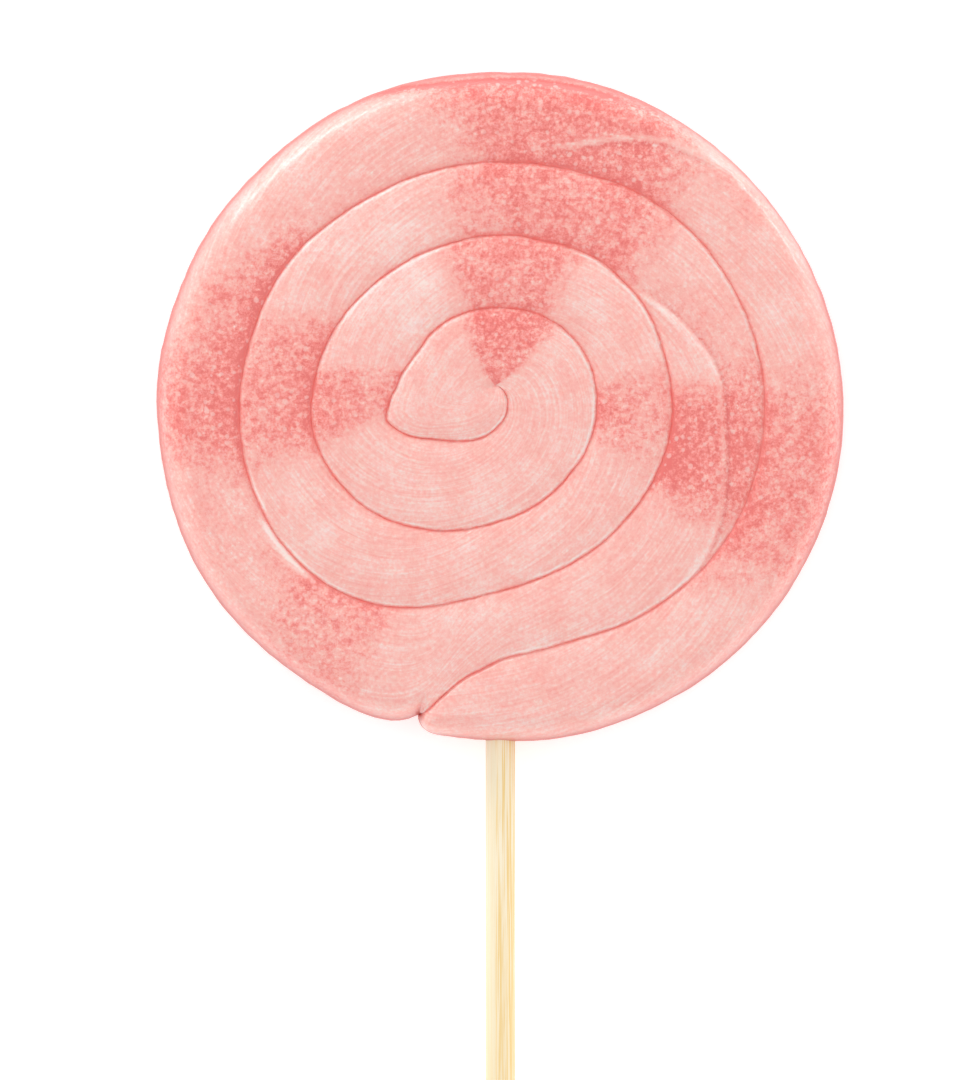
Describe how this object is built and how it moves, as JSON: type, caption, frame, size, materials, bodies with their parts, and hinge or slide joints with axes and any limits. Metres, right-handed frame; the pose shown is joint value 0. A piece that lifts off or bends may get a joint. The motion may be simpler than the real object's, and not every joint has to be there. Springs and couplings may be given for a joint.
{
  "type": "lollipop",
  "caption": "Flat round lollipop: a thick rope of pulled sugar coiled into a spiral disc on a long straight round stick, lying on its back.",
  "frame": {"origin": "on the disc's flat back, under the middle of the disc", "axes": "+Z out of the front of the disc, +Y from the stick towards the disc, +X to the right as seen from the front"},
  "size_m": [0.0922, 0.2002, 0.011],
  "materials": {
    "pulled_sugar": "satin pearly pulled sugar, pale coral pink",
    "bamboo": "smooth pale bamboo with lengthwise fibres"
  },
  "bodies": {
    "root": {"candy": "pulled_sugar", "stick": "bamboo"}
  },
  "joints": []
}
